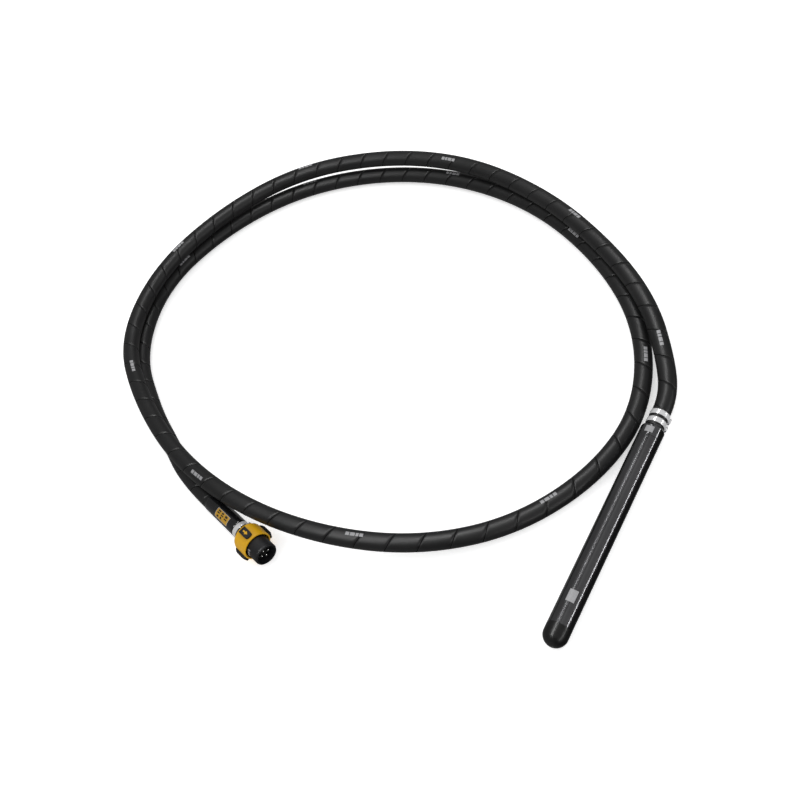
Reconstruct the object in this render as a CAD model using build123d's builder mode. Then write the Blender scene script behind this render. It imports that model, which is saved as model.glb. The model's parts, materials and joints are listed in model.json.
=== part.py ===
"""High-frequency concrete vibrator: poker head, free hose and bayonet plug.

Millimetres, +Z up. The head lies along Y with its nose towards -Y, on the floor at z = 0, and the
origin is under its middle. The hose runs from its back end, in one and three quarter loose turns
on the floor, to the plug.
"""

from build123d import *
from math import cos, pi, radians, sin, tan
import os

# ---- driving dimensions: the head --------------------------------------------------------------
HEAD_RADIUS = 19.0  # a 38 mm head
TUBE_BORE = 16.0
TUBE_FRONT = -177.0  # where the nose cap ends
TUBE_BACK = 155.0  # where the end sleeve starts
NOSE_TIP = -208.0
SHOULDER = 178.0  # back face of the end sleeve, where the hose starts
SHOULDER_RADIUS = 16.2
SHOULDER_CHAMFER = 4.5
CUFF_END = 208.0  # where the free hose leaves the clamps
SPIGOT_RADIUS = 15.95
SPIGOT_LENGTH = 20.0
SEAL_GROOVE = 2.6
SEAL_SECTION = 0.7
WIRE_RADIUS = 1.2
WIRE_BORE = 6.0
BARB_ROOT = 9.5
BARB_PEAK = 10.5
BARB_PITCH = 6.5
BARB_COUNT = 4

# ---- driving dimensions: shaft, motor and bearings ---------------------------------------------
SHAFT_RADIUS = 6.0
SHAFT_WAIST = 7.0  # the thicker length that carries the weight
SHAFT_TAIL = 5.0
SHAFT_NOSE, SHAFT_END = -156.0, 114.0
WAIST_FRONT, WAIST_BACK = -141.0, -31.0
TAIL_STEP = 99.0
WEIGHT_FRONT, WEIGHT_BACK = -138.0, -34.0
WEIGHT_RADIUS = 13.5
WEIGHT_HUB = 9.6
KEY_WIDTH = 4.0
KEY_LENGTH = 40.0
STATOR_FRONT, STATOR_BACK = 2.0, 88.0
STATOR_BORE = 9.7
ROTOR_RADIUS = 9.2
SLOT_COUNT = 12
SLOT_CIRCLE = 12.7
SLOT_RADIUS = 1.5
# name: centre, outer radius, bore radius, width, pitch radius, ball radius
BEARINGS = {
    "front": (-147.0, 15.9, SHAFT_RADIUS, 10.0, 11.0, 2.9),
    "middle": (-25.0, 15.9, SHAFT_RADIUS, 10.0, 11.0, 2.9),
    "rear": (108.0, 12.0, SHAFT_TAIL, 8.0, 8.5, 2.1),
}
BALL_COUNT = 7

# ---- driving dimensions: hose ------------------------------------------------------------------
HOSE_RADIUS = 15.0
CLAMP_CENTRES = (187.0, 201.5)
CLAMP_WIDTH = 8.8
CLAMP_INNER, CLAMP_OUTER = 15.05, 16.1
EAR_WIDTH, EAR_TOP = 8.0, 19.6
EAR_THICKNESS, EAR_ROUND = 1.0, 1.6
PLUG_EAR_ANGLE = 200.0
EAR_ANGLE = -30.0  # round the head from +X, downwards

ROUTE = [
    (0, 208, 19), (0, 242, 19), (-29, 304, 25), (-90, 392, 40), (-190, 474, 49), (-352, 567, 49),
    (-548, 618, 49), (-733, 597, 49), (-902, 509, 49), (-1003, 362, 49), (-1049, 185, 49),
    (-1003, 13, 49), (-878, -91, 49), (-721, -171, 50), (-550, -205, 50), (-385, -192, 40),
    (-243, -141, 25), (-127, -52, 16), (-50, 76, 15), (-31, 212, 15), (-90, 362, 15),
    (-212, 483, 15), (-385, 577, 15), (-575, 608, 15), (-753, 577, 15), (-907, 489, 15),
    (-1010, 348, 15), (-1054, 178, 15), (-993, 11, 15), (-868, -90, 15), (-785, -138, 15),
    (-707, -185, 20), (-635, -207, 22.7),
]

# ---- driving dimensions: plug, as distances along its axis from the end of the free hose -------
SLEEVE_SPAN = (6.0, 88.0)
SLEEVE_RADIUS = 15.8
LABEL_SPAN = (37.0, 72.0)
LABEL_ARC = 60.0
TAIL_END = 102.0
TAIL_CLAMP = 94.0  # its centre
BACKSHELL_START = 68.0
SHELL_START, PLUG_END = 108.0, 165.5
SHELL_RADIUS = 20.0
SHELL_BORE = 16.8
INSERT_SPAN = (137.0, 149.0)
RING_SPAN = (104.0, 140.0)
RING_RADIUS = 25.5
RING_BORE = 23.2
RING_DOME = 8.0
GRIP_RADIUS = 30.0
GRIP_WIDTH = 13.0
GRIP_ANGLES = (105.0, -105.0)
PIN_CIRCLE, PIN_RADIUS = 7.0, 2.0
PIN_SPAN = (136.0, 161.5)
PIN_ANGLES = (0.0, 90.0, 180.0, 270.0)

RUNNING_GAP = 0.08
FIT_GAP = 0.05
UP = Vector(0, 0, 1)

os.makedirs("parts", exist_ok=True)


# ---- frames: X along the axis of the head or plug, Y up -----------------------------------------
HEAD = Plane(origin=(0, 0, HEAD_RADIUS), x_dir=(0, 1, 0), z_dir=(1, 0, 0))
plug_axis = (Vector(*ROUTE[-1]) - Vector(*ROUTE[-2])).normalized()
PLUG = Plane(origin=ROUTE[-1], x_dir=plug_axis, z_dir=plug_axis.cross(UP))
HEAD_AXIS = Axis(HEAD.origin, HEAD.x_dir)
PLUG_AXIS = Axis(PLUG.origin, PLUG.x_dir)


def across(frame, along):
    """The plane across an axis, at a distance along it; its local Y is up and it extrudes backwards."""
    origin = frame.from_local_coords((along, 0, 0))
    return Plane(origin=origin, x_dir=frame.z_dir, z_dir=frame.x_dir * -1)


def rolled(frame, angle):
    """The same frame, turned about its own axis."""
    roll_axis = Axis((0, 0, 0), frame.x_dir)
    return Plane(origin=frame.origin, x_dir=frame.x_dir, z_dir=frame.z_dir.rotate(roll_axis, angle))


def outline(frame, *points):
    """A closed face through points of (distance along the axis, radius)."""
    with BuildSketch(frame) as face:
        with BuildLine():
            Polyline(*points, close=True)
        make_face()
    return face.sketch


def tube_outline(frame, start, end, inner, outer):
    """The half section of a plain tube."""
    return outline(frame, (start, inner), (end, inner), (end, outer), (start, outer))


def save(part, label):
    """Name a finished piece and write its STEP file."""
    part.label = label
    export_step(part, f"parts/{label}.step")


# ---- head casing -------------------------------------------------------------------------------
with BuildPart() as head_tube:
    revolve(tube_outline(HEAD, TUBE_FRONT, TUBE_BACK, TUBE_BORE, HEAD_RADIUS), axis=HEAD_AXIS)
    chamfer(head_tube.edges().filter_by(GeomType.CIRCLE).group_by(SortBy.RADIUS)[-1], length=0.4)
save(head_tube.part, "head_tube")

NOSE_CENTRE = NOSE_TIP + HEAD_RADIUS
NOSE_GROOVE = TUBE_FRONT + 5.0
with BuildPart() as nose_cap:
    with BuildSketch(HEAD) as nose_section:
        with BuildLine():
            ThreePointArc(
                (NOSE_TIP, 0),
                (NOSE_CENTRE - HEAD_RADIUS * cos(radians(45)), HEAD_RADIUS * sin(radians(45))),
                (NOSE_CENTRE, HEAD_RADIUS),
            )
            Polyline(
                (NOSE_CENTRE, HEAD_RADIUS), (TUBE_FRONT, HEAD_RADIUS), (TUBE_FRONT, SPIGOT_RADIUS),
                (NOSE_GROOVE, SPIGOT_RADIUS), (NOSE_GROOVE, SPIGOT_RADIUS - 2 * SEAL_SECTION),
                (NOSE_GROOVE + SEAL_GROOVE, SPIGOT_RADIUS - 2 * SEAL_SECTION),
                (NOSE_GROOVE + SEAL_GROOVE, SPIGOT_RADIUS), (TUBE_FRONT + SPIGOT_LENGTH, SPIGOT_RADIUS),
                (TUBE_FRONT + SPIGOT_LENGTH, 0), (NOSE_TIP, 0),
            )
        make_face()
    revolve(axis=HEAD_AXIS)
save(nose_cap.part, "nose_cap")

SLEEVE_GROOVE = TUBE_BACK - 8.0
barbs = []
for tooth in range(BARB_COUNT):
    foot = SHOULDER + 2.0 + tooth * BARB_PITCH
    barbs += [(foot, BARB_ROOT), (foot, BARB_PEAK), (foot + BARB_PITCH - 1.0, BARB_ROOT)]
with BuildPart() as end_sleeve:
    revolve(
        outline(
            HEAD,
            (TUBE_BACK - SPIGOT_LENGTH, WIRE_BORE), (TUBE_BACK - SPIGOT_LENGTH, SPIGOT_RADIUS),
            (SLEEVE_GROOVE, SPIGOT_RADIUS), (SLEEVE_GROOVE, SPIGOT_RADIUS - 2 * SEAL_SECTION),
            (SLEEVE_GROOVE + SEAL_GROOVE, SPIGOT_RADIUS - 2 * SEAL_SECTION),
            (SLEEVE_GROOVE + SEAL_GROOVE, SPIGOT_RADIUS), (TUBE_BACK, SPIGOT_RADIUS),
            (TUBE_BACK, HEAD_RADIUS - 0.4), (TUBE_BACK + 0.4, HEAD_RADIUS),
            (SHOULDER - SHOULDER_CHAMFER, HEAD_RADIUS), (SHOULDER, SHOULDER_RADIUS),
            (SHOULDER, BARB_ROOT), *barbs, (CUFF_END - 1.0, BARB_ROOT), (CUFF_END - 1.0, WIRE_BORE),
        ),
        axis=HEAD_AXIS,
    )
save(end_sleeve.part, "end_sleeve")

# ---- head seals --------------------------------------------------------------------------------
SEAL_CIRCLE = SPIGOT_RADIUS - SEAL_SECTION
for label, groove in (("nose_seal", NOSE_GROOVE), ("sleeve_seal", SLEEVE_GROOVE)):
    with BuildPart() as seal:
        with BuildSketch(HEAD):
            with Locations((groove + SEAL_GROOVE / 2, SEAL_CIRCLE)):
                Circle(SEAL_SECTION - 0.02)
        revolve(axis=HEAD_AXIS)
    save(seal.part, label)


# ---- bearings: four nodes each -----------------------------------------------------------------
def ball_places(centre, pitch):
    """Centres of a bearing's balls."""
    places = []
    for ball in range(BALL_COUNT):
        turn = radians(90 + ball * 360 / BALL_COUNT)
        places.append((pitch * cos(turn), centre, HEAD_RADIUS + pitch * sin(turn)))
    return places


for name, (centre, outer, bore, width, pitch, ball) in BEARINGS.items():
    front, back = centre - width / 2, centre + width / 2
    race_gap = 0.65 * ball
    with BuildSketch(HEAD) as groove_section:
        with Locations((centre, pitch)):
            Circle(ball + 0.1)
    with BuildPart() as outer_race:
        revolve(tube_outline(HEAD, front, back, pitch + race_gap, outer), axis=HEAD_AXIS)
        revolve(groove_section.sketch, axis=HEAD_AXIS, mode=Mode.SUBTRACT)
    save(outer_race.part, f"{name}_bearing_outer")
    with BuildPart() as inner_race:
        revolve(tube_outline(HEAD, front, back, bore + FIT_GAP, pitch - race_gap), axis=HEAD_AXIS)
        revolve(groove_section.sketch, axis=HEAD_AXIS, mode=Mode.SUBTRACT)
    save(inner_race.part, f"{name}_bearing_inner")
    with BuildPart() as balls:
        with Locations(*ball_places(centre, pitch)):
            Sphere(ball)
    save(balls.part, f"{name}_bearing_balls")
    with BuildPart() as cage:
        half_width, cage_wall = 1.42 * ball, 0.3 * ball
        revolve(
            tube_outline(
                HEAD, centre - half_width, centre + half_width, pitch - cage_wall, pitch + cage_wall
            ),
            axis=HEAD_AXIS,
        )
        with Locations(*ball_places(centre, pitch)):
            Sphere(ball + 0.12, mode=Mode.SUBTRACT)
    save(cage.part, f"{name}_bearing_cage")

# the rear bearing is smaller, so the motor's leads pass it in a holder
LEAD_CIRCLE = 14.0
LEAD_ANGLES = (90.0, 210.0, 330.0)
rear_centre, rear_outer, _, rear_width, _, _ = BEARINGS["rear"]
with BuildPart() as rear_bearing_holder:
    with BuildSketch(across(HEAD, rear_centre - rear_width / 2)):
        Circle(TUBE_BORE - FIT_GAP)
        Circle(rear_outer + FIT_GAP, mode=Mode.SUBTRACT)
        for angle in LEAD_ANGLES:
            with Locations((LEAD_CIRCLE * cos(radians(angle)), LEAD_CIRCLE * sin(radians(angle)))):
                Circle(WIRE_RADIUS + 0.15, mode=Mode.SUBTRACT)
    extrude(amount=-rear_width)
save(rear_bearing_holder.part, "rear_bearing_holder")

# ---- rotor: shaft, weight and motor core ---------------------------------------------------------
KEY_MIDDLE = (WEIGHT_FRONT + WEIGHT_BACK) / 2
KEY_ROOT, KEY_TOP = SHAFT_WAIST - 2.0, SHAFT_WAIST + 1.6
with BuildPart() as rotor_shaft:
    revolve(
        outline(
            HEAD,
            (SHAFT_NOSE, 0), (SHAFT_NOSE, SHAFT_RADIUS),
            (WAIST_FRONT, SHAFT_RADIUS), (WAIST_FRONT, SHAFT_WAIST),
            (WAIST_BACK, SHAFT_WAIST), (WAIST_BACK, SHAFT_RADIUS),
            (TAIL_STEP, SHAFT_RADIUS), (TAIL_STEP, SHAFT_TAIL),
            (SHAFT_END, SHAFT_TAIL), (SHAFT_END, 0),
        ),
        axis=HEAD_AXIS,
    )
    with Locations((0, KEY_MIDDLE, HEAD_RADIUS + (KEY_ROOT + KEY_TOP) / 2)):
        Box(KEY_WIDTH, KEY_LENGTH, KEY_TOP - KEY_ROOT, mode=Mode.SUBTRACT)
save(rotor_shaft.part, "rotor_shaft")

with BuildPart() as eccentric_weight:
    with BuildSketch(across(HEAD, WEIGHT_FRONT)):
        Circle(WEIGHT_RADIUS)
        with Locations((0, WEIGHT_RADIUS)):
            Rectangle(2 * WEIGHT_RADIUS, 2 * WEIGHT_RADIUS, mode=Mode.SUBTRACT)
        Circle(WEIGHT_HUB)
        Circle(SHAFT_WAIST + FIT_GAP, mode=Mode.SUBTRACT)
        with Locations((0, SHAFT_WAIST)):
            Rectangle(KEY_WIDTH + 0.1, 2 * (KEY_TOP - SHAFT_WAIST) + 0.1, mode=Mode.SUBTRACT)
    extrude(amount=-(WEIGHT_BACK - WEIGHT_FRONT))
save(eccentric_weight.part, "eccentric_weight")

with BuildPart() as weight_key:
    with Locations((0, KEY_MIDDLE, HEAD_RADIUS + (KEY_ROOT + KEY_TOP) / 2)):
        Box(KEY_WIDTH - 0.04, KEY_LENGTH - 0.04, KEY_TOP - KEY_ROOT - 0.04)
save(weight_key.part, "weight_key")

with BuildPart() as rotor_core:
    revolve(
        tube_outline(HEAD, STATOR_FRONT + 2, STATOR_BACK - 2, SHAFT_RADIUS + FIT_GAP, ROTOR_RADIUS),
        axis=HEAD_AXIS,
    )
save(rotor_core.part, "rotor_core")

with BuildPart() as rotor_end_rings:
    for start in (STATOR_FRONT - 2, STATOR_BACK - 2):
        revolve(
            tube_outline(HEAD, start, start + 4, SHAFT_RADIUS + FIT_GAP, ROTOR_RADIUS - 0.4),
            axis=HEAD_AXIS,
        )
save(rotor_end_rings.part, "rotor_end_rings")

SPACER_SPAN, SPACER_RADIUS = (-19.9, -0.1), 8.0
with BuildPart() as bearing_spacer:
    revolve(tube_outline(HEAD, *SPACER_SPAN, SHAFT_RADIUS + FIT_GAP, SPACER_RADIUS), axis=HEAD_AXIS)
save(bearing_spacer.part, "bearing_spacer")

# ---- stator, winding, leads ------------------------------------------------------------------------
with BuildPart() as stator_core:
    with BuildSketch(across(HEAD, STATOR_FRONT)):
        Circle(TUBE_BORE - FIT_GAP)
        Circle(STATOR_BORE, mode=Mode.SUBTRACT)
        with PolarLocations(SLOT_CIRCLE, SLOT_COUNT):
            Circle(SLOT_RADIUS, mode=Mode.SUBTRACT)
    extrude(amount=-(STATOR_BACK - STATOR_FRONT))
save(stator_core.part, "stator_core")

WINDING_OVERHANG = 9.0
WINDING_REACH = 1.8  # each side of the slot circle
with BuildPart() as stator_winding:
    for start, end in (
        (STATOR_FRONT - WINDING_OVERHANG, STATOR_FRONT - 0.2),
        (STATOR_BACK + 0.2, STATOR_BACK + WINDING_OVERHANG),
    ):
        revolve(
            tube_outline(HEAD, start, end, SLOT_CIRCLE - WINDING_REACH, SLOT_CIRCLE + WINDING_REACH),
            axis=HEAD_AXIS,
        )
    with BuildSketch(across(HEAD, STATOR_FRONT - 0.5)):
        with PolarLocations(SLOT_CIRCLE, SLOT_COUNT):
            Circle(SLOT_RADIUS - 0.1)
    extrude(amount=-(STATOR_BACK - STATOR_FRONT + 1.0))
save(stator_winding.part, "stator_winding")


def bent_wires(frame, stations, near, far, angles):
    """Straight wires that step from one circle to another between two stations."""
    start, bend_in, bend_out, end = stations
    with BuildPart() as wires:
        for angle in angles:
            turn = radians(angle)
            with BuildLine():
                path = FilletPolyline(
                    *[
                        frame.from_local_coords((along, reach * sin(turn), reach * cos(turn)))
                        for along, reach in ((start, near), (bend_in, near), (bend_out, far), (end, far))
                    ],
                    radius=8.0,
                )
            with BuildSketch(Plane(origin=path @ 0, z_dir=path % 0)) as section:
                Circle(WIRE_RADIUS)
            sweep(sections=section.sketch, path=path)
    return wires.part


LEAD_START = STATOR_BACK + WINDING_OVERHANG
LEAD_BENDS = (115.0, 134.0)
LEAD_INNER_CIRCLE = 3.2  # where the three leads run together into the hose
save(
    bent_wires(HEAD, (LEAD_START, *LEAD_BENDS, CUFF_END), LEAD_CIRCLE, LEAD_INNER_CIRCLE, LEAD_ANGLES),
    "motor_leads",
)

GROMMET_START, GROMMET_LENGTH = 140.0, 12.0
with BuildPart() as wire_grommet:
    with BuildSketch(across(HEAD, GROMMET_START)):
        Circle(WIRE_BORE - FIT_GAP)
        for angle in LEAD_ANGLES:
            spot = (LEAD_INNER_CIRCLE * cos(radians(angle)), LEAD_INNER_CIRCLE * sin(radians(angle)))
            with Locations(spot):
                Circle(WIRE_RADIUS + FIT_GAP, mode=Mode.SUBTRACT)
    extrude(amount=-GROMMET_LENGTH)
save(wire_grommet.part, "wire_grommet")

SWITCH_PLACE, SWITCH_DROP = 122.0, 5.5
SWITCH_SIZE = (9.0, 12.0, 4.5)
SWITCH_ROUND = 1.2
with BuildPart() as thermal_switch:
    with Locations((0, SWITCH_PLACE, HEAD_RADIUS - SWITCH_DROP)):
        Box(*SWITCH_SIZE)
    fillet(thermal_switch.edges().filter_by(Axis.Y), radius=SWITCH_ROUND)
save(thermal_switch.part, "thermal_switch")

CIRCLIP_PLACES = (-141.9, -19.8)
CIRCLIP_THICKNESS, CIRCLIP_DEPTH, CIRCLIP_GAP = 1.4, 1.8, 6.0
with BuildPart() as bearing_circlips:
    for place in CIRCLIP_PLACES:
        with BuildSketch(across(HEAD, place)):
            Circle(TUBE_BORE - FIT_GAP)
            Circle(TUBE_BORE - CIRCLIP_DEPTH, mode=Mode.SUBTRACT)
            with Locations((0, TUBE_BORE)):
                Rectangle(CIRCLIP_GAP, 4 * CIRCLIP_DEPTH, mode=Mode.SUBTRACT)
        extrude(amount=-CIRCLIP_THICKNESS)
save(bearing_circlips.part, "bearing_circlips")

# ---- the hose's end on the head ----------------------------------------------------------------
with BuildPart() as hose_end_cuff:
    revolve(
        tube_outline(HEAD, SHOULDER + 0.05, CUFF_END, BARB_PEAK + 0.1, HOSE_RADIUS), axis=HEAD_AXIS
    )
save(hose_end_cuff.part, "hose_end_cuff")


def ear_clamp(frame, centre, angle, label):
    """A steel band with one pinched ear."""
    with BuildPart() as clamp:
        with BuildSketch(across(frame, centre - CLAMP_WIDTH / 2)) as band:
            Circle(CLAMP_OUTER)
            with PolarLocations((CLAMP_INNER + EAR_TOP) / 2, 1, start_angle=angle):
                Rectangle(EAR_TOP - CLAMP_INNER, EAR_WIDTH)
            fillet(band.vertices().sort_by_distance((0, 0))[-2:], radius=EAR_ROUND)
            Circle(CLAMP_INNER, mode=Mode.SUBTRACT)
            eye_top = EAR_TOP - EAR_THICKNESS
            with PolarLocations((CLAMP_OUTER + eye_top) / 2, 1, start_angle=angle):
                Rectangle(eye_top - CLAMP_OUTER, EAR_WIDTH - 2 * EAR_THICKNESS, mode=Mode.SUBTRACT)
        extrude(amount=-CLAMP_WIDTH)
    save(clamp.part, label)


for number, centre in enumerate(CLAMP_CENTRES, start=1):
    ear_clamp(HEAD, centre, EAR_ANGLE, f"hose_clamp_{number}")


# ---- the free hose -----------------------------------------------------------------------------
END_REACH, MIDDLE_REACH = 0.9, 0.45  # the share of a run that its arc may take


def arc_radii(points):
    """Each corner's arc, as large as its two runs allow."""
    radii = []
    last = len(points) - 2
    for corner in range(1, last + 1):
        incoming = Vector(*points[corner]) - Vector(*points[corner - 1])
        outgoing = Vector(*points[corner + 1]) - Vector(*points[corner])
        before = incoming.length * (END_REACH if corner == 1 else MIDDLE_REACH)
        after = outgoing.length * (END_REACH if corner == last else MIDDLE_REACH)
        turn = radians(incoming.get_angle(outgoing))
        radii.append(min(before, after) / tan(turn / 2))
    return radii


hose_radii = arc_radii(ROUTE)
with BuildPart() as hose:
    with BuildLine() as hose_line:
        FilletPolyline(*ROUTE, radius=hose_radii)
    hose_path = hose_line.wire()
    with BuildSketch(Plane(origin=hose_path @ 0, z_dir=hose_path % 0)):
        Circle(HOSE_RADIUS)
    sweep(path=hose_path)
save(hose.part, "hose")
print("hose radii", [round(radius) for radius in hose_radii])
print("hose length", round(hose_path.length, 1))
section_volume = pi * HOSE_RADIUS**2 * hose_path.length
print("hose volume over section times length", round(hose.part.volume / section_volume, 4))

# ---- plug: tail, sleeve, label and clamp ---------------------------------------------------------
with BuildPart() as plug_tail:
    revolve(
        outline(
            PLUG,
            (0, WIRE_BORE), (0, HOSE_RADIUS), (TAIL_END, HOSE_RADIUS), (TAIL_END, BARB_PEAK + 0.1),
            (BACKSHELL_START - 2, BARB_PEAK + 0.1), (BACKSHELL_START - 2, WIRE_BORE),
        ),
        axis=PLUG_AXIS,
    )
save(plug_tail.part, "plug_tail")

with BuildPart() as shrink_sleeve:
    revolve(tube_outline(PLUG, *SLEEVE_SPAN, HOSE_RADIUS + FIT_GAP, SLEEVE_RADIUS), axis=PLUG_AXIS)
save(shrink_sleeve.part, "shrink_sleeve")

LABEL_MIDDLE = 27.0  # round the plug from the top, towards the plug frame's Z
with BuildPart() as sleeve_label:
    revolve(
        tube_outline(
            rolled(PLUG, LABEL_MIDDLE - LABEL_ARC / 2), *LABEL_SPAN,
            SLEEVE_RADIUS + 0.02, SLEEVE_RADIUS + 0.3,
        ),
        axis=PLUG_AXIS,
        revolution_arc=LABEL_ARC,
    )
save(sleeve_label.part, "sleeve_label")

ear_clamp(PLUG, TAIL_CLAMP, PLUG_EAR_ANGLE, "plug_clamp")

# ---- plug: body -----------------------------------------------------------------------------------
plug_barbs = []
for tooth in range(BARB_COUNT):
    foot = BACKSHELL_START + 1.0 + tooth * BARB_PITCH
    plug_barbs += [(foot, BARB_ROOT), (foot + BARB_PITCH - 1.0, BARB_PEAK)]
    plug_barbs += [(foot + BARB_PITCH - 1.0, BARB_ROOT)]
SHELL_WALL = 5.0
FLANGE_START, FLANGE_END = SHELL_START + SHELL_WALL + 0.05, SHELL_START + 10.0
with BuildPart() as backshell:
    revolve(
        outline(
            PLUG,
            (BACKSHELL_START, WIRE_BORE), (BACKSHELL_START, BARB_ROOT), *plug_barbs,
            (FLANGE_START, BARB_ROOT), (FLANGE_START, SHELL_BORE - 0.2),
            (FLANGE_END, SHELL_BORE - 0.2), (FLANGE_END + 4, WIRE_BORE),
        ),
        axis=PLUG_AXIS,
    )
save(backshell.part, "backshell")

SNAP_SPAN = (113.3, 114.7)
SNAP_ROOT = 18.9
PLUG_SEAL_PLACE = 119.5
PLUG_SEAL_SECTION = 1.2
with BuildPart() as plug_shell:
    revolve(
        outline(
            PLUG,
            (SHELL_START, BARB_ROOT + 0.1), (SHELL_START, SHELL_RADIUS),
            (SNAP_SPAN[0] - 0.1, SHELL_RADIUS), (SNAP_SPAN[0] - 0.1, SNAP_ROOT - 0.1),
            (SNAP_SPAN[1] + 0.1, SNAP_ROOT - 0.1), (SNAP_SPAN[1] + 0.1, SHELL_RADIUS),
            (PLUG_SEAL_PLACE - 1.5, SHELL_RADIUS), (PLUG_SEAL_PLACE - 1.5, SHELL_RADIUS - 1.5),
            (PLUG_SEAL_PLACE + 1.5, SHELL_RADIUS - 1.5), (PLUG_SEAL_PLACE + 1.5, SHELL_RADIUS),
            (PLUG_END - 2.5, SHELL_RADIUS), (PLUG_END - 0.8, SHELL_RADIUS - 0.7),
            (PLUG_END, SHELL_RADIUS - 2.4), (PLUG_END, SHELL_BORE),
            (SHELL_START + SHELL_WALL, SHELL_BORE), (SHELL_START + SHELL_WALL, BARB_ROOT + 0.1),
        ),
        axis=PLUG_AXIS,
    )
save(plug_shell.part, "plug_shell")

with BuildPart() as contact_insert:
    with BuildSketch(across(PLUG, INSERT_SPAN[0])):
        Circle(SHELL_BORE - FIT_GAP)
        for angle in PIN_ANGLES:
            with Locations((PIN_CIRCLE * cos(radians(angle)), PIN_CIRCLE * sin(radians(angle)))):
                Circle(PIN_RADIUS + FIT_GAP, mode=Mode.SUBTRACT)
    extrude(amount=-(INSERT_SPAN[1] - INSERT_SPAN[0]))
save(contact_insert.part, "contact_insert")

with BuildPart() as contact_pins:
    with BuildSketch(across(PLUG, PIN_SPAN[0])):
        for angle in PIN_ANGLES:
            with Locations((PIN_CIRCLE * cos(radians(angle)), PIN_CIRCLE * sin(radians(angle)))):
                Circle(PIN_RADIUS)
    extrude(amount=-(PIN_SPAN[1] - PIN_SPAN[0]))
    fillet(contact_pins.edges().filter_by(GeomType.CIRCLE).sort_by(PLUG_AXIS)[-4:], radius=1.5)
save(contact_pins.part, "contact_pins")

PLUG_LEAD_BENDS, PLUG_LEAD_CIRCLE = (123.5, 133.5), 3.4
save(
    bent_wires(PLUG, (0.2, *PLUG_LEAD_BENDS, PIN_SPAN[0]), PLUG_LEAD_CIRCLE, PIN_CIRCLE, PIN_ANGLES),
    "plug_leads",
)

with BuildPart() as plug_seal:
    with BuildSketch(PLUG):
        with Locations((PLUG_SEAL_PLACE, SHELL_RADIUS - 1.5 + PLUG_SEAL_SECTION + 0.02)):
            Circle(PLUG_SEAL_SECTION)
    revolve(axis=PLUG_AXIS)
save(plug_seal.part, "plug_seal")

with BuildPart() as snap_ring:
    with BuildSketch(across(PLUG, SNAP_SPAN[0])):
        Circle(RING_BORE - 0.8)
        Circle(SNAP_ROOT, mode=Mode.SUBTRACT)
        with Locations((0, -SHELL_RADIUS)):
            Rectangle(12, 12, mode=Mode.SUBTRACT)
    extrude(amount=-(SNAP_SPAN[1] - SNAP_SPAN[0]))
save(snap_ring.part, "snap_ring")

# ---- plug: the turning lock ring --------------------------------------------------------------------
ring_start, ring_end = RING_SPAN
RING_LIP = 16.9
PAD_START, PAD_FLAT = 111.5, 119.0  # where a grip pad starts and where its flat top starts
TOP_PAD_FRONT, SIDE_PAD_FRONT = 136.0, 139.5
PAD_ROUND = 5.0
ARROW_PLACE, ARROW_THICKNESS = 120.0, 0.5
ARROW_PROFILE = ((0, -1.3), (6, -1.3), (6, -3.4), (11.5, 0), (6, 3.4), (6, 1.3), (0, 1.3))
with BuildPart() as lock_ring:
    with BuildSketch(PLUG):
        with BuildLine():
            Polyline((ring_start, RING_LIP), (ring_start, RING_LIP + 1.2))
            ThreePointArc(
                (ring_start, RING_LIP + 1.2),
                (ring_start + 3.2, RING_LIP + 6.0),
                (ring_start + RING_DOME, RING_RADIUS),
            )
            Polyline(
                (ring_start + RING_DOME, RING_RADIUS), (ring_end - 0.8, RING_RADIUS),
                (ring_end, RING_RADIUS - 0.8), (ring_end, RING_BORE), (SNAP_SPAN[0] - 0.5, RING_BORE),
                (SNAP_SPAN[0] - 0.5, SHELL_RADIUS + RUNNING_GAP),
                (SHELL_START - 0.4, SHELL_RADIUS + RUNNING_GAP), (SHELL_START - 0.4, RING_LIP),
                (ring_start, RING_LIP),
            )
        make_face()
    revolve(axis=PLUG_AXIS)
save(lock_ring.part, "lock_ring")


def grip_pad(angle, front):
    """One raised pad on the lock ring, ramped up towards its flat top."""
    turned = rolled(PLUG, angle)
    with BuildPart() as pad:
        with BuildSketch(turned):
            with BuildLine():
                Polyline(
                    (PAD_START, RING_RADIUS - 2), (PAD_START, RING_RADIUS + 0.6),
                    (PAD_FLAT - 4, RING_RADIUS + 3.0), (PAD_FLAT, GRIP_RADIUS),
                    (front - 2.5, GRIP_RADIUS), (front, GRIP_RADIUS - 2),
                    (front, RING_RADIUS - 2), close=True,
                )
            make_face()
        extrude(amount=GRIP_WIDTH / 2, both=True)
        upright = pad.edges().filter_by(Axis(turned.origin, turned.y_dir))
        fillet(upright.sort_by(PLUG_AXIS)[-2:], radius=PAD_ROUND)
        revolve(
            tube_outline(PLUG, ring_start, PLUG_END, SHELL_BORE, RING_RADIUS + 0.02),
            axis=PLUG_AXIS,
            mode=Mode.SUBTRACT,
        )
    return pad.part


save(grip_pad(0, TOP_PAD_FRONT), "top_grip_pad")
with BuildPart() as side_grip_pads:
    for angle in GRIP_ANGLES:
        add(grip_pad(angle, SIDE_PAD_FRONT))
save(side_grip_pads.part, "side_grip_pads")

ARROW_PLANE = Plane(
    origin=PLUG.from_local_coords((ARROW_PLACE, GRIP_RADIUS + 0.02, 0)),
    x_dir=PLUG.x_dir,
    z_dir=PLUG.y_dir,
)
with BuildPart() as arrow_mark:
    with BuildSketch(ARROW_PLANE):
        with BuildLine():
            Polyline(*ARROW_PROFILE, close=True)
        make_face()
    extrude(amount=ARROW_THICKNESS)
save(arrow_mark.part, "arrow_mark")
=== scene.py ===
"""Looks for a high-frequency concrete vibrator: steel poker head, long rubber hose and bayonet plug.

Metres, +Z up. The head lies along Y under its hose's end, and the hose runs in loose turns on the
floor to the plug.
"""
import json
import math

import bmesh
import bpy
import numpy as np
from mathutils import Matrix, Vector


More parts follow.
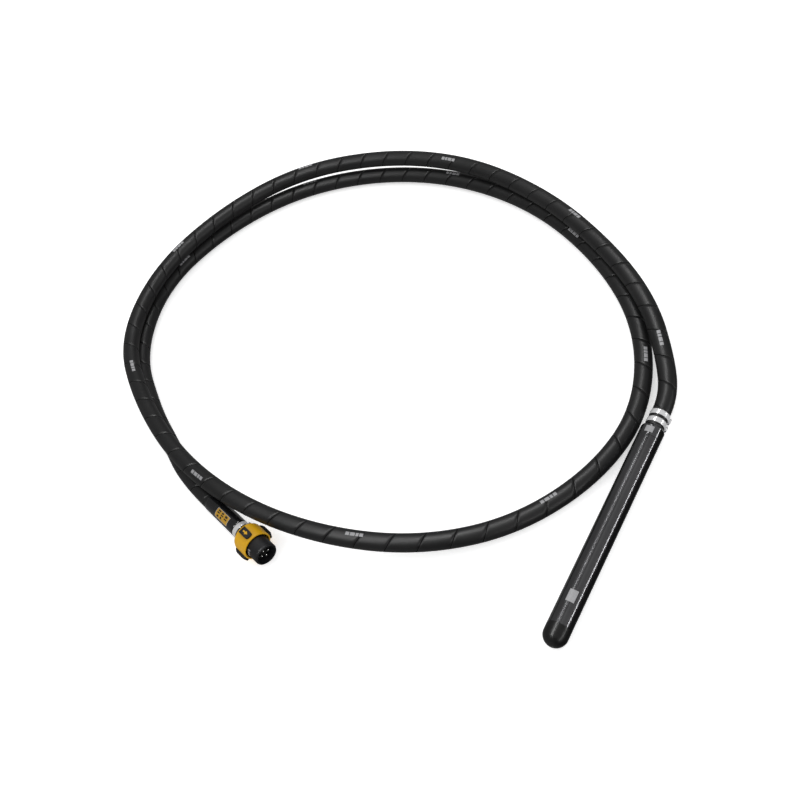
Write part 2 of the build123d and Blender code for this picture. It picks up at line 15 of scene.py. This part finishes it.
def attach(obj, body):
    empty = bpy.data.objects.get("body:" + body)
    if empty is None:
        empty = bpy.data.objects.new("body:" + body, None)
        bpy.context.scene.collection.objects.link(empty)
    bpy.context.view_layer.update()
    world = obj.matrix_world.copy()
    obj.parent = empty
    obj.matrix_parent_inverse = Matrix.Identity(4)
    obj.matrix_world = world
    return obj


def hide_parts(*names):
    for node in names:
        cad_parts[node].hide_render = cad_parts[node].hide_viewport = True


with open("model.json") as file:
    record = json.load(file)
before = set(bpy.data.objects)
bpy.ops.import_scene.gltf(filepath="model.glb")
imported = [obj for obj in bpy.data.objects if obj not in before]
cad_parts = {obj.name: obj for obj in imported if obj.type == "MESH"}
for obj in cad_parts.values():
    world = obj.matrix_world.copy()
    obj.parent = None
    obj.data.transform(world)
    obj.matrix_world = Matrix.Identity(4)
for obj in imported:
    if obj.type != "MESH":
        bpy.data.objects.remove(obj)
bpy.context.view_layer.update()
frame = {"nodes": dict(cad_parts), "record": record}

MM = 0.001

# ---- the hose's route: the same points as the CAD route, in metres -----------------------------
ROUTE = [
    (0, .208, .019), (0, .242, .019), (-.029, .304, .025), (-.090, .392, .040), (-.190, .474, .049),
    (-.352, .567, .049), (-.548, .618, .049), (-.733, .597, .049), (-.902, .509, .049),
    (-1.003, .362, .049), (-1.049, .185, .049), (-1.003, .013, .049), (-.878, -.091, .049),
    (-.721, -.171, .050), (-.550, -.205, .050), (-.385, -.192, .040), (-.243, -.141, .025),
    (-.127, -.052, .016), (-.050, .076, .015), (-.031, .212, .015), (-.090, .362, .015),
    (-.212, .483, .015), (-.385, .577, .015), (-.575, .608, .015), (-.753, .577, .015),
    (-.907, .489, .015), (-1.010, .348, .015), (-1.054, .178, .015), (-.993, .011, .015),
    (-.868, -.090, .015), (-.785, -.138, .015), (-.707, -.185, .020), (-.635, -.207, .0227),
]
HOSE_RADIUS = 15 * MM
WRAP_PITCH = 50 * MM
GROOVE_DEPTH = 0.6 * MM
GROOVE_HALF = 0.55 * MM
UP = np.array((0.0, 0.0, 1.0))

# ---- the head and the plug, as in the CAD ------------------------------------------------------
HEAD_HEIGHT = 19 * MM  # also the head's radius
NOSE_TIP = -208 * MM
CUFF_END = 208 * MM
HEAD_CLAMPS = {"hose_clamp_1": 187 * MM, "hose_clamp_2": 201.5 * MM}
HEAD_EAR_ANGLE = math.radians(120)
PLUG_LENGTH = 165.5 * MM
SLEEVE_SPAN = (6 * MM, 88 * MM)
LABEL_SPAN = (37 * MM, 72 * MM)
LABEL_ARC = (math.radians(-3), math.radians(57))
PLUG_CLAMP = 94 * MM
PLUG_EAR_ANGLE = math.radians(-110)
SHELL_RADIUS = 20 * MM


# ---- camera ------------------------------------------------------------------------------------
def make_camera():
    """The photograph's viewpoint, as an aim point on the floor, two angles, a roll and a distance."""
    aim, distance = Vector((-0.432, 0.098, 0)), 1.746
    azimuth, elevation, roll = math.radians(49.9), math.radians(51.9), math.radians(-25.1)
    turn = Matrix.Rotation(azimuth, 4, "Z")
    turn @= Matrix.Rotation(math.pi / 2 - elevation, 4, "X")
    turn @= Matrix.Rotation(roll, 4, "Z")
    camera = bpy.data.objects.new("camera", bpy.data.cameras.new("camera"))
    camera.data.lens, camera.data.sensor_width = 45, 36
    camera.data.clip_end = 50
    camera.matrix_world = Matrix.Translation(aim + distance * turn.col[2].to_3d()) @ turn
    bpy.context.scene.collection.objects.link(camera)
    bpy.context.scene.camera = camera


# ---- lines that round pieces follow ------------------------------------------------------------
class Line:
    """A line in space, with a place for each distance along it and angle round it.

    Angle 0 is up, and angles turn by the right-hand rule about the line's direction.
    """

    def __init__(self, places):
        self.places = np.array(places, float)
        steps = np.linalg.norm(np.diff(self.places, axis=0), axis=1)
        self.distances = np.concatenate([[0], np.cumsum(steps)])
        self.length = self.distances[-1]
        self.directions = np.gradient(self.places, self.distances, axis=0)

    def _read(self, table, along):
        return np.stack([np.interp(along, self.distances, table[:, k]) for k in range(3)], -1)

    def surface(self, along, angle, radius):
        """Points at each distance along, angle round and distance out."""
        along, angle, radius = np.broadcast_arrays(along, angle, radius)
        centre = self._read(self.places, along)
        direction = self._read(self.directions, along)
        side = np.cross(direction, UP)
        side /= np.linalg.norm(side, axis=-1, keepdims=True)
        top = np.cross(side, direction)
        top /= np.linalg.norm(top, axis=-1, keepdims=True)
        round_it = np.cos(angle)[..., None] * top + np.sin(angle)[..., None] * side
        return centre + radius[..., None] * round_it


def smooth_line(points):
    """The NURBS line that a route's points control."""
    curve = bpy.data.curves.new("route", "CURVE")
    curve.dimensions = "3D"
    curve.resolution_u = 40
    spline = curve.splines.new("NURBS")
    spline.points.add(len(points) - 1)
    for knot, place in zip(spline.points, points):
        knot.co = (*place, 1)
    spline.order_u = 3
    spline.use_endpoint_u = True
    holder = bpy.data.objects.new("route", curve)
    mesh = bpy.data.meshes.new_from_object(holder)
    places = [tuple(vertex.co) for vertex in mesh.vertices]
    bpy.data.objects.remove(holder)
    bpy.data.meshes.remove(mesh)
    return places


# ---- mesh helpers ------------------------------------------------------------------------------
def new_piece(name, vertices, faces, materials, body="casing"):
    """A smooth-shaded mesh object that rides on a body."""
    mesh = bpy.data.meshes.new(name)
    mesh.from_pydata([tuple(v) for v in vertices], [], faces)
    mesh.validate()
    mesh.shade_smooth()
    for material in materials:
        mesh.materials.append(material)
    piece = bpy.data.objects.new(name, mesh)
    bpy.context.scene.collection.objects.link(piece)
    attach(piece, body)
    return piece


def crease(piece, degrees=35):
    """Keep a piece's real corners sharp under smooth shading."""
    piece.data.set_sharp_from_angle(angle=math.radians(degrees))


def grid_faces(rows, columns, wrap_rows=False, wrap_columns=False):
    """Quads over a grid of points, which may close on itself either way."""
    faces = []
    for row in range(rows if wrap_rows else rows - 1):
        for column in range(columns if wrap_columns else columns - 1):
            near, far = row * columns, (row + 1) % rows * columns
            after = (column + 1) % columns
            faces.append((near + column, near + after, far + after, far + column))
    return faces


def turned(name, line, outline, materials, body="casing", sides=96, wobble=None):
    """A closed ring-shaped piece round a line, from its section's (distance along, radius) points."""
    angles = np.arange(sides) * 2 * math.pi / sides
    points = []
    for along, radius in outline:
        out = np.full(sides, radius)
        if wobble:
            out = out + wobble(along, angles)
        points.append(line.surface(along, angles, out))
    piece = new_piece(
        name, np.concatenate(points), grid_faces(len(outline), sides, True, True), materials, body
    )
    crease(piece)
    return piece


def plate_points(line, span, arc, radius, thickness, steps=(6, 10)):
    """Points and faces of one thin plate that lies on a round surface, with slightly sunk edges."""
    lengthwise = np.linspace(span[0], span[1], steps[0])
    crosswise = np.linspace(arc[0], arc[1], steps[1])
    along, angle = np.meshgrid(lengthwise, crosswise, indexing="ij")
    top = line.surface(along, angle, radius + thickness).reshape(-1, 3)
    bottom = line.surface(along, angle, radius - thickness).reshape(-1, 3)
    count = len(top)
    faces = grid_faces(*steps)
    faces += [tuple(count + corner for corner in reversed(face)) for face in faces]
    edge = list(range(steps[1]))
    edge += [row * steps[1] + steps[1] - 1 for row in range(1, steps[0])]
    edge += [(steps[0] - 1) * steps[1] + column for column in range(steps[1] - 2, -1, -1)]
    edge += [row * steps[1] for row in range(steps[0] - 2, 0, -1)]
    for start, end in zip(edge, edge[1:] + edge[:1]):
        faces.append((end, start, count + start, count + end))
    return np.concatenate([top, bottom]), faces


def plates(name, line, places, radius, thickness, material, body="casing"):
    """Thin plates on a round surface, as one piece. Each place is ((start, end), (angle, angle))."""
    points, faces = [], []
    for span, arc in places:
        shift = sum(len(block) for block in points)
        block, block_faces = plate_points(line, span, arc, radius, thickness)
        points.append(block)
        faces += [tuple(shift + corner for corner in face) for face in block_faces]
    piece = new_piece(name, np.concatenate(points), faces, [material], body)
    crease(piece)
    return piece


# ---- materials ---------------------------------------------------------------------------------
def surface_material(
    name, color, roughness, metallic=0.0, variation=0.15, grain=(300, 300, 300), bump=0.1,
    bump_depth=0.05 * MM, roughness_spread=0.06, specular=0.5, coat=0.0, coat_roughness=0.1,
):
    """A principled material whose colour, roughness and relief follow fine and broad noise."""
    material = bpy.data.materials.new(name)
    material.use_nodes = True
    nodes, links = material.node_tree.nodes, material.node_tree.links
    shader = nodes["Principled BSDF"]
    shader.inputs["Metallic"].default_value = metallic
    shader.inputs["Specular IOR Level"].default_value = specular
    shader.inputs["Coat Weight"].default_value = coat
    shader.inputs["Coat Roughness"].default_value = coat_roughness

    place = nodes.new("ShaderNodeTexCoord")
    stretch = nodes.new("ShaderNodeMapping")
    stretch.inputs["Scale"].default_value = grain
    fine = nodes.new("ShaderNodeTexNoise")
    fine.inputs["Scale"].default_value = 1.0
    fine.inputs["Detail"].default_value = 6.0
    broad = nodes.new("ShaderNodeTexNoise")
    broad.inputs["Scale"].default_value = 14.0
    broad.inputs["Detail"].default_value = 3.0
    links.new(place.outputs["Object"], stretch.inputs["Vector"])
    links.new(stretch.outputs["Vector"], fine.inputs["Vector"])
    links.new(place.outputs["Object"], broad.inputs["Vector"])

    blend = nodes.new("ShaderNodeMath")
    blend.operation = "MULTIPLY_ADD"
    blend.inputs[1].default_value = 0.5
    halves = nodes.new("ShaderNodeMath")
    halves.operation = "MULTIPLY"
    halves.inputs[1].default_value = 0.5
    links.new(broad.outputs["Fac"], halves.inputs[0])
    links.new(fine.outputs["Fac"], blend.inputs[0])
    links.new(halves.outputs["Value"], blend.inputs[2])

    shades = nodes.new("ShaderNodeValToRGB")
    dark, light = shades.color_ramp.elements
    dark.position, light.position = 0.3, 0.7
    dark.color = (*[channel * (1 - variation) for channel in color], 1)
    light.color = (*[min(1, channel * (1 + variation)) for channel in color], 1)
    links.new(blend.outputs["Value"], shades.inputs["Fac"])
    links.new(shades.outputs["Color"], shader.inputs["Base Color"])

    gloss = nodes.new("ShaderNodeMapRange")
    gloss.inputs["From Min"].default_value = 0.3
    gloss.inputs["From Max"].default_value = 0.7
    gloss.inputs["To Min"].default_value = max(0.02, roughness - roughness_spread)
    gloss.inputs["To Max"].default_value = roughness + roughness_spread
    links.new(blend.outputs["Value"], gloss.inputs["Value"])
    links.new(gloss.outputs["Result"], shader.inputs["Roughness"])

    relief = nodes.new("ShaderNodeBump")
    relief.inputs["Strength"].default_value = bump
    relief.inputs["Distance"].default_value = bump_depth
    links.new(fine.outputs["Fac"], relief.inputs["Height"])
    links.new(relief.outputs["Normal"], shader.inputs["Normal"])
    return material


def tube_steel():
    """Oil-blackened steel, ground round the tube, so its fine lines run across the head."""
    return surface_material(
        "tube_steel", (0.15, 0.15, 0.155), 0.17, metallic=1.0, variation=0.14, grain=(60, 2600, 60),
        bump=0.02, roughness_spread=0.03,
    )


def sleeve_steel():
    """The same steel, turned, a little lighter."""
    return surface_material(
        "sleeve_steel", (0.17, 0.17, 0.175), 0.16, metallic=1.0, grain=(60, 1800, 60), bump=0.06,
        roughness_spread=0.03,
    )


def nose_black():
    """Hardened cap, black with a dull gloss."""
    return surface_material(
        "nose_black", (0.004, 0.004, 0.004), 0.3, variation=0.3, grain=(500, 500, 500), bump=0.2,
        specular=0.45,
    )


def steel_with_painted_sheen():
    """Bright stainless band with a rolled finish along it; only partly metallic, so its near-white diffuse
    colour is painted reflection standing in for the mirrored surroundings.
    """
    return surface_material(
        "clamp_steel", (0.80, 0.80, 0.81), 0.24, metallic=0.45, variation=0.08, grain=(60, 1500, 60),
        bump=0.1, roughness_spread=0.06,
    )


def hose_rubber():
    """Cloth-cured black rubber: faint weave imprint, satin."""
    return surface_material(
        "hose_rubber", (0.008, 0.008, 0.0083), 0.44, variation=0.3, grain=(1300, 1300, 1300), bump=0.35,
        bump_depth=0.12 * MM, roughness_spread=0.07, specular=0.42,
    )


def seam_shade_rubber():
    """The wrap's seam: matte, and its near-black colour is painted shade that deepens the sunk groove."""
    return surface_material("seam_shade_rubber", (0.002, 0.002, 0.002), 0.8, specular=0.1, bump=0.1)


def sleeve_film():
    """Shrunk plastic film over the hose, glossy black."""
    return surface_material(
        "sleeve_black", (0.006, 0.006, 0.007), 0.16, variation=0.3, grain=(240, 240, 240), bump=0.25,
        bump_depth=0.15 * MM, coat=0.6, coat_roughness=0.06,
    )


def label_yellow():
    """Yellow label under clear film."""
    return surface_material(
        "label_yellow", (0.46, 0.25, 0.010), 0.3, variation=0.12, grain=(120, 120, 120), bump=0.05,
        coat=0.5, coat_roughness=0.08,
    )


def ring_yellow():
    """Moulded yellow plastic with a slight orange-peel skin."""
    return surface_material(
        "ring_yellow", (0.61, 0.325, 0.0015), 0.42, variation=0.06, grain=(420, 420, 420), bump=0.12,
        specular=0.3,
    )


def pad_black():
    """Soft grip, matte."""
    return surface_material(
        "pad_black", (0.008, 0.008, 0.008), 0.6, variation=0.3, grain=(900, 900, 900), bump=0.4,
        specular=0.35,
    )


def plug_black():
    """Moulded black plastic, finely spark-eroded."""
    return surface_material(
        "plug_black", (0.009, 0.009, 0.011), 0.42, variation=0.25, grain=(1500, 1500, 1500), bump=0.35,
        specular=0.4,
    )


def mark_and_highlight_grey():
    """Etched or printed light grey, also used for the painted rib highlights on the plug shell."""
    return surface_material(
        "mark_and_highlight_grey", (0.30, 0.30, 0.31), 0.5, variation=0.25, grain=(900, 900, 900), bump=0.1,
    )


def inner_materials():
    """Finishes of what is inside the head and plug, by record slot."""
    steel = {
        "shaft_steel": (0.55, 0.25), "weight_steel": (0.35, 0.4), "core_steel": (0.3, 0.5),
        "spring_steel": (0.22, 0.35), "bearing_steel": (0.7, 0.12),
    }
    made = {}
    for slot, (tone, roughness) in steel.items():
        color = (tone, tone, tone * 1.02)
        made[slot] = surface_material(slot, color, roughness, metallic=1.0, variation=0.08)
    made["cage_brass"] = surface_material("cage_brass", (0.72, 0.52, 0.2), 0.3, metallic=1.0)
    made["copper"] = surface_material(
        "copper", (0.62, 0.26, 0.1), 0.35, metallic=0.9, grain=(2000, 200, 2000)
    )
    made["end_ring_aluminium"] = surface_material(
        "end_ring_aluminium", (0.7, 0.7, 0.71), 0.4, metallic=1.0
    )
    made["holder_aluminium"] = surface_material(
        "holder_aluminium", (0.62, 0.62, 0.63), 0.35, metallic=1.0
    )
    made["wire_sheath"] = surface_material("wire_sheath", (0.4, 0.03, 0.02), 0.4)
    made["seal_rubber"] = surface_material("seal_rubber", (0.01, 0.01, 0.01), 0.5, bump=0.2)
    made["switch_body"] = surface_material("switch_body", (0.6, 0.56, 0.44), 0.5)
    made["backshell_black"] = surface_material("backshell_black", (0.02, 0.02, 0.02), 0.5, bump=0.3)
    made["insert_black"] = surface_material(
        "insert_black", (0.012, 0.012, 0.012), 0.5, grain=(1200, 1200, 1200), bump=0.3
    )
    made["pin_silver"] = surface_material(
        "pin_silver", (0.9, 0.89, 0.86), 0.16, metallic=1.0, variation=0.05, grain=(800, 800, 800)
    )
    return made


# ---- the hose and what is printed on it --------------------------------------------------------
def make_hose(line):
    """A mesh tube whose rows follow the left-handed wrap, so that the sunk seam is one row of it."""
    sides = 44
    crown = [0.16, 0.3, 0.45, 0.6, 0.75, 0.88]
    edge = GROOVE_HALF / WRAP_PITCH
    steps = [-edge, -0.45 * edge, 0.45 * edge, edge, 0.07, *crown]
    sunk = [0, 1, 1, 0, 0, *[0] * len(crown)]
    turns = int(line.length / WRAP_PITCH) + 3
    starts = np.array([turn + step for turn in range(-1, turns) for step in steps]) * WRAP_PITCH
    depths = np.array([value for _ in range(-1, turns) for value in sunk]) * GROOVE_DEPTH
    lean = np.arange(sides) / sides * WRAP_PITCH
    along = np.clip(starts[:, None] - lean[None, :], 0, line.length)
    angles = np.arange(sides)[None, :] * 2 * math.pi / sides
    radii = np.broadcast_to(HOSE_RADIUS - depths[:, None], along.shape)
    points = line.surface(along, angles + 0 * along, radii).reshape(-1, 3)
    rows, per_turn = len(starts), len(steps)
    faces, seams = [], []
    for row in range(rows - 1):
        for column in range(sides):
            after = row * sides + column + 1
            above = (row + 1) * sides + column + 1
            if column == sides - 1:
                if row - per_turn < 0:
                    continue
                after, above = (row - per_turn) * sides, (row + 1 - per_turn) * sides
            corners = (row * sides + column, after, above, (row + 1) * sides + column)
            spots = along.reshape(-1)[list(corners)]
            if spots.max() - spots.min() > 1e-7:
                faces.append(corners)
                seams.append(row % per_turn in (0, 1, 2))
    hose = new_piece("hose_tube", points, faces, [hose_rubber(), seam_shade_rubber()])
    # Seam faces get the near-black rubber, which is painted shade in the groove.
    for polygon, seam in zip(hose.data.polygons, seams):
        polygon.material_index = int(seam)
    close_ends(hose)
    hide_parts("hose")
    return hose


def close_ends(piece):
    """Join the points that lie on each other and cap the open ends."""
    mesh = bmesh.new()
    mesh.from_mesh(piece.data)
    bmesh.ops.remove_doubles(mesh, verts=mesh.verts, dist=0.01 * MM)
    bmesh.ops.dissolve_degenerate(mesh, edges=mesh.edges, dist=0.01 * MM)
    loose = [vertex for vertex in mesh.verts if not vertex.link_faces]
    bmesh.ops.delete(mesh, geom=loose, context="VERTS")
    bmesh.ops.holes_fill(mesh, edges=[edge for edge in mesh.edges if edge.is_boundary], sides=0)
    bmesh.ops.recalc_face_normals(mesh, faces=mesh.faces)
    mesh.to_mesh(piece.data)
    mesh.free()


def hose_marks(line, material):
    """Plain printed dashes at even spacing, in place of lettering."""
    spacing, first = 0.315, 0.12
    places = []
    for number in range(int((line.length - first) / spacing)):
        start = first + number * spacing
        turn = math.radians(20 * math.sin(2.3 * number))
        for shift, width in ((0, 6), (7.5, 8), (17, 4.5), (23, 6)):
            span = (start + shift * MM, start + (shift + width) * MM)
            places.append((span, (turn - 0.2, turn + 0.2)))
    return plates("hose_marks", line, places, HOSE_RADIUS, 0.12 * MM, material)


# ---- clamps ------------------------------------------------------------------------------------
def rounded_corners(points):
    """A closed outline with its corners cut twice, which rounds them."""
    points = np.array(points, float)
    for _ in range(2):
        after = np.roll(points, -1, axis=0)
        points = np.stack([0.75 * points + 0.25 * after, 0.25 * points + 0.75 * after], 1).reshape(-1, 2)
    return points


def ear_clamp(name, line, middle, ear_angle, material, node, body="casing"):
    """A steel band that pinches into one omega-shaped ear."""
    band, thickness, width = 15.62 * MM, 0.9 * MM, 8.8 * MM
    half_arc = 0.16
    circle = [
        (band * math.sin(angle), band * math.cos(angle))
        for angle in np.linspace(half_arc, 2 * math.pi - half_arc, 60)
    ]
    left = [(-1.5, 15.7), (-1.2, 16.4), (-3.9, 17.0), (-3.9, 19.4)]
    ear = left + [(-x, y) for x, y in reversed(left)]
    path = rounded_corners(circle + [(x * MM, y * MM) for x, y in ear])
    ahead = np.roll(path, -1, axis=0) - np.roll(path, 1, axis=0)
    ahead /= np.linalg.norm(ahead, axis=1, keepdims=True)
    out = np.stack([-ahead[:, 1], ahead[:, 0]], 1)
    half, deep = width / 2, thickness / 2
    section = rounded_corners([(-half, -deep), (half, -deep), (half, deep), (-half, deep)])
    points = []
    for spot, normal in zip(path, out):
        for along, away in section:
            x, y = spot + normal * away
            points.append(line.surface(middle + along, ear_angle + math.atan2(x, y), math.hypot(x, y)))
    piece = new_piece(
        name, points, grid_faces(len(path), len(section), True, True), [material], body
    )
    crease(piece, 50)
    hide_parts(node)
    return piece


# ---- plug --------------------------------------------------------------------------------------
def make_sleeve(line, material):
    """Shrunk film with soft ends and slight draw lines, over the hose's tail."""
    (start, end), inner, outer = SLEEVE_SPAN, 15.04 * MM, 15.75 * MM
    outline = [(start, inner), (start, inner + 0.15 * MM), (start + 0.6 * MM, outer - 0.2 * MM)]
    outline += [(along, outer) for along in np.linspace(start + 2 * MM, end - 2 * MM, 30)]
    outline += [(end - 0.6 * MM, outer - 0.2 * MM), (end, inner + 0.15 * MM), (end, inner)]

    def draw_lines(along, angles):
        inside = start + 2 * MM <= along <= end - 2 * MM
        wave = np.sin(3 * angles + 90 * along) * np.sin(420 * along) + 0.5 * np.sin(7 * angles - 300 * along)
        return 0.06 * MM * wave if inside else 0 * angles

    piece = turned("shrink_film", line, outline, [material], wobble=draw_lines)
    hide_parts("shrink_sleeve")
    return piece


def label_details(line, border, ink):
    """A pale line round the label and plain dark blocks on it, in place of lettering."""
    radius = 16.1 * MM
    (start, end), (low, high) = LABEL_SPAN, LABEL_ARC
    thin = 0.8 * MM
    edge = thin / radius
    frame_places = [
        ((start, start + thin), (low, high)), ((end - thin, end), (low, high)),
        ((start + thin, end - thin), (low, low + edge)), ((start + thin, end - thin), (high - edge, high)),
    ]
    blocks = []
    for along, angle, length, arc in (
        (41, 5, 7, 8), (41, 18, 6, 8), (51, 5, 5, 10), (51, 20, 7, 7), (51, 33, 4, 14), (61, 6, 6, 12),
        (61, 24, 7, 8), (42, 36, 5, 12),
    ):
        first = math.radians(angle)
        blocks.append(((along * MM, (along + length) * MM), (first, first + math.radians(arc))))
    return [
        plates("label_border", line, frame_places, radius, 0.06 * MM, border),
        plates("label_blocks", line, blocks, radius, 0.05 * MM, ink),
    ]


# ---- room --------------------------------------------------------------------------------------
def make_floor():
    """A plain white floor."""
    reach, drop = 12, 0.3 * MM
    corners = [(-reach, -reach), (reach, -reach), (reach, reach), (-reach, reach)]
    mesh = bpy.data.meshes.new("floor")
    mesh.from_pydata([(x, y, -drop) for x, y in corners], [], [(0, 1, 2, 3)])
    floor = bpy.data.objects.new("floor", mesh)
    bpy.context.scene.collection.objects.link(floor)
    material = bpy.data.materials.new("floor")
    material.use_nodes = True
    shader = material.node_tree.nodes["Principled BSDF"]
    shader.inputs["Base Color"].default_value = (0.9, 0.9, 0.9, 1)
    shader.inputs["Roughness"].default_value = 0.9
    shader.inputs["Emission Color"].default_value = (1, 1, 1, 1)
    shader.inputs["Emission Strength"].default_value = 0.5
    mesh.materials.append(material)
    floor.visible_glossy = False


def area_light(name, place, aim, size, power, mirrored=True, lighting=True):
    """A rectangular softbox. Its long side lies along Y."""
    light = bpy.data.lights.new(name, "AREA")
    light.shape = "RECTANGLE"
    light.size, light.size_y = size
    light.energy = power
    holder = bpy.data.objects.new(name, light)
    back = (Vector(place) - Vector(aim)).normalized()
    along = (Vector((0, 1, 0)) - back * back.y).normalized()
    across = along.cross(back)
    turn = Matrix((across, along, back)).transposed().to_4x4()
    holder.matrix_world = Matrix.Translation(place) @ turn
    holder.visible_glossy, holder.visible_diffuse = mirrored, lighting
    bpy.context.scene.collection.objects.link(holder)


MIRRORED_ROOM = 0.22, 0.03  # how bright the room looks in reflections, towards -X and +X


def make_lights():
    """White surroundings, two softboxes, and two long strips seen only as the head's streaks."""
    world = bpy.data.worlds.new("studio")
    world.use_nodes = True
    nodes, links = world.node_tree.nodes, world.node_tree.links
    white = nodes["Background"]
    white.inputs["Color"].default_value = (1, 1, 1, 1)
    white.inputs["Strength"].default_value = 0.85
    dim = nodes.new("ShaderNodeBackground")
    dim.inputs["Color"].default_value = (1, 1, 1, 1)
    ray_way, parts = nodes.new("ShaderNodeTexCoord"), nodes.new("ShaderNodeSeparateXYZ")
    fade = nodes.new("ShaderNodeMapRange")
    fade.inputs["From Min"].default_value = 0.0
    fade.inputs["From Max"].default_value = 0.5
    fade.inputs["To Min"].default_value, fade.inputs["To Max"].default_value = MIRRORED_ROOM
    links.new(ray_way.outputs["Generated"], parts.inputs["Vector"])
    links.new(parts.outputs["X"], fade.inputs["Value"])
    links.new(fade.outputs["Result"], dim.inputs["Strength"])
    ray, mix = nodes.new("ShaderNodeLightPath"), nodes.new("ShaderNodeMixShader")
    links.new(ray.outputs["Is Glossy Ray"], mix.inputs["Fac"])
    links.new(white.outputs["Background"], mix.inputs[1])
    links.new(dim.outputs["Background"], mix.inputs[2])
    links.new(mix.outputs["Shader"], nodes["World Output"].inputs["Surface"])
    bpy.context.scene.world = world
    bpy.context.scene.view_settings.view_transform = "Standard"
    area_light("overhead", (-1.6, 0.9, 2.6), (-0.5, 0.2, 0), (2.2, 2.6), 20, mirrored=False)
    area_light("strip", (-0.62, 0, 2.1), (0, 0, 0), (0.07, 4.0), 55, lighting=False)
    area_light("side_box", (1.25, 0, 1.65), (0, 0, 0), (2.3, 4.0), 9)
    area_light("side_strip", (2.1, 0, 0.55), (0, 0, 0), (0.08, 4.0), 20, lighting=False)


# ---- build -------------------------------------------------------------------------------------
make_camera()
make_floor()
make_lights()

hose_line = Line(smooth_line(ROUTE))
plug_start = np.array(ROUTE[-1])
plug_direction = plug_start - np.array(ROUTE[-2])
plug_direction /= np.linalg.norm(plug_direction)
plug_line = Line([plug_start, plug_start + PLUG_LENGTH * plug_direction])
head_line = Line([(0, NOSE_TIP, HEAD_HEIGHT), (0, CUFF_END, HEAD_HEIGHT)])

steel, grey, film = steel_with_painted_sheen(), mark_and_highlight_grey(), sleeve_film()
finishes = {
    "tube_steel": tube_steel(), "nose_black": nose_black(), "sleeve_steel": sleeve_steel(),
    "clamp_steel": steel, "sleeve_black": film, "label_yellow": label_yellow(),
    "ring_yellow": ring_yellow(), "pad_black": pad_black(), "plug_black": plug_black(),
    **inner_materials(),
}

hose = make_hose(hose_line)
finishes["hose_rubber"] = hose.data.materials[0]
for row in frame["record"]["subparts"]:
    node = frame["nodes"][row["node"]]
    node.data.materials.clear()
    node.data.materials.append(finishes[row["material_slot"]])

marks = hose_marks(hose_line, grey)
for number, (node, middle) in enumerate(HEAD_CLAMPS.items(), start=1):
    ear_clamp(f"band_clamp_{number}", head_line, middle - NOSE_TIP, HEAD_EAR_ANGLE, steel, node)
plug_band = ear_clamp("plug_band", plug_line, PLUG_CLAMP, PLUG_EAR_ANGLE, steel, "plug_clamp")
sleeve = make_sleeve(plug_line, film)
label_pieces = label_details(plug_line, grey, finishes["pad_black"])

# Three light grey bars on the plug shell: painted highlights where the shell's ribs catch the light.
rib_highlight_places = [
    ((142 * MM, 147 * MM), (math.radians(angle), math.radians(angle + 7))) for angle in (44, 58, 72)
]
shell_rib_highlights = plates(
    "shell_rib_highlights", plug_line, rib_highlight_places, SHELL_RADIUS, 0.12 * MM, grey
)

FACE = math.radians(16)  # the side of the head that faces the camera
for name, start, end, arc, slot in (
    ("sleeve_mark", 159.5, 170.5, (FACE - 0.66, FACE + 0.04), "sleeve_steel"),
    ("nose_mark", -142, -123, (FACE - 0.5, FACE + 0.2), "tube_steel"),
):
    span = (start * MM - NOSE_TIP, end * MM - NOSE_TIP)
    plates(name, head_line, [(span, arc)], HEAD_HEIGHT, 0.05 * MM, grey)
